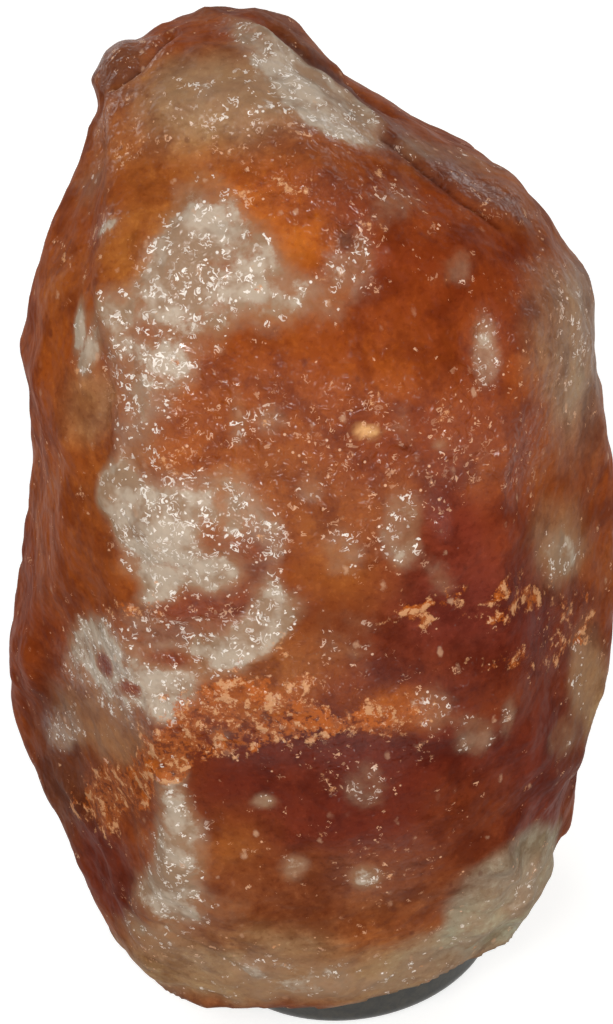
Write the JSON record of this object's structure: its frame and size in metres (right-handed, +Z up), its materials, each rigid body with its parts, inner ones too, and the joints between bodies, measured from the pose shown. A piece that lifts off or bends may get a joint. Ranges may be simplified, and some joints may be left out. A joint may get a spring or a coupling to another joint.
{
  "type": "salt crystal lamp",
  "caption": "Table lamp: rough translucent rock-salt crystal, bored from below, on a small dark turned wooden base; a clip-in lampholder with a small screw bulb sits inside.",
  "frame": {"origin": "on the floor, under the middle of the round wooden base", "axes": "+Z up through the bulb; +Y towards the rear, where the cord channel leaves the base; -Y faces the viewer of the picture"},
  "size_m": [0.13, 0.112, 0.2165],
  "materials": {
    "salt": "rough hewn, translucent",
    "dark_wood": "stained near black, satin varnish",
    "rubber": "matt",
    "zinc_steel": "zinc plated",
    "nylon": "moulded",
    "black_plastic": "moulded, fine grain",
    "cream_ceramic": "unglazed",
    "brass": "drawn, bright",
    "spring_steel": "bright spring steel",
    "bulb_metal": "rolled, nickel grey",
    "black_glass": "glossy",
    "solder": "dull",
    "clear_glass": "clear, blown",
    "tungsten": "drawn wire"
  },
  "bodies": {
    "root": {"salt_crystal": "salt", "wooden_base": "dark_wood", "foot_1": "rubber", "foot_2": "rubber", "foot_3": "rubber", "foot_4": "rubber", "base_screws": "zinc_steel", "base_washers": "zinc_steel", "salt_anchors": "nylon"},
    "lampholder": {"holder_cap": "black_plastic", "holder_sleeve": "black_plastic", "contact_block": "cream_ceramic", "screw_shell": "brass", "centre_contact": "brass", "shell_contact": "brass", "terminal_left": "brass", "terminal_right": "brass", "terminal_screws": "zinc_steel", "threaded_nipple": "zinc_steel", "inner_nut": "zinc_steel", "outer_nut": "zinc_steel", "cord_gland": "black_plastic", "gland_screw": "zinc_steel", "clip_plate": "spring_steel"},
    "left_leaf": {"clip_leaf_left": "spring_steel"},
    "right_leaf": {"clip_leaf_right": "spring_steel"},
    "bulb_seat": {"bulb_tip": "solder"},
    "bulb": {"bulb_cap": "bulb_metal", "bulb_insulator": "black_glass", "bulb_glass": "clear_glass", "bulb_stem": "clear_glass", "filament": "tungsten", "lead_wires": "tungsten", "support_wires": "tungsten"}
  },
  "joints": [
    {"name": "holder_pull", "type": "slide", "parent": "root", "child": "lampholder", "axis": [0, 0, -1], "range_m": [0, 0.105]},
    {"name": "left_leaf_squeeze", "type": "hinge", "parent": "lampholder", "child": "left_leaf", "pos_m": [-0.014, 0, 0.0212], "axis": [0, -1, 0], "range_deg": [0, 12], "stiffness_Nm_per_rad": 0.05, "springref_deg": -5.73},
    {"name": "right_leaf_squeeze", "type": "hinge", "parent": "lampholder", "child": "right_leaf", "pos_m": [0.014, 0, 0.0212], "axis": [0, 1, 0], "range_deg": [0, 12], "stiffness_Nm_per_rad": 0.05, "springref_deg": -5.73},
    {"name": "bulb_rise", "type": "slide", "parent": "lampholder", "child": "bulb_seat", "axis": [0, 0, 1], "range_m": [0, 0.0141]},
    {"name": "bulb_turn", "type": "hinge", "parent": "bulb_seat", "child": "bulb", "pos_m": [0, 0, 0.0471], "axis": [0, 0, 1], "range_deg": [0, 1800]}
  ],
  "couplings": [
    {"joint": "bulb_turn", "follows": "bulb_rise", "rad_per_m": 2226.5}
  ]
}
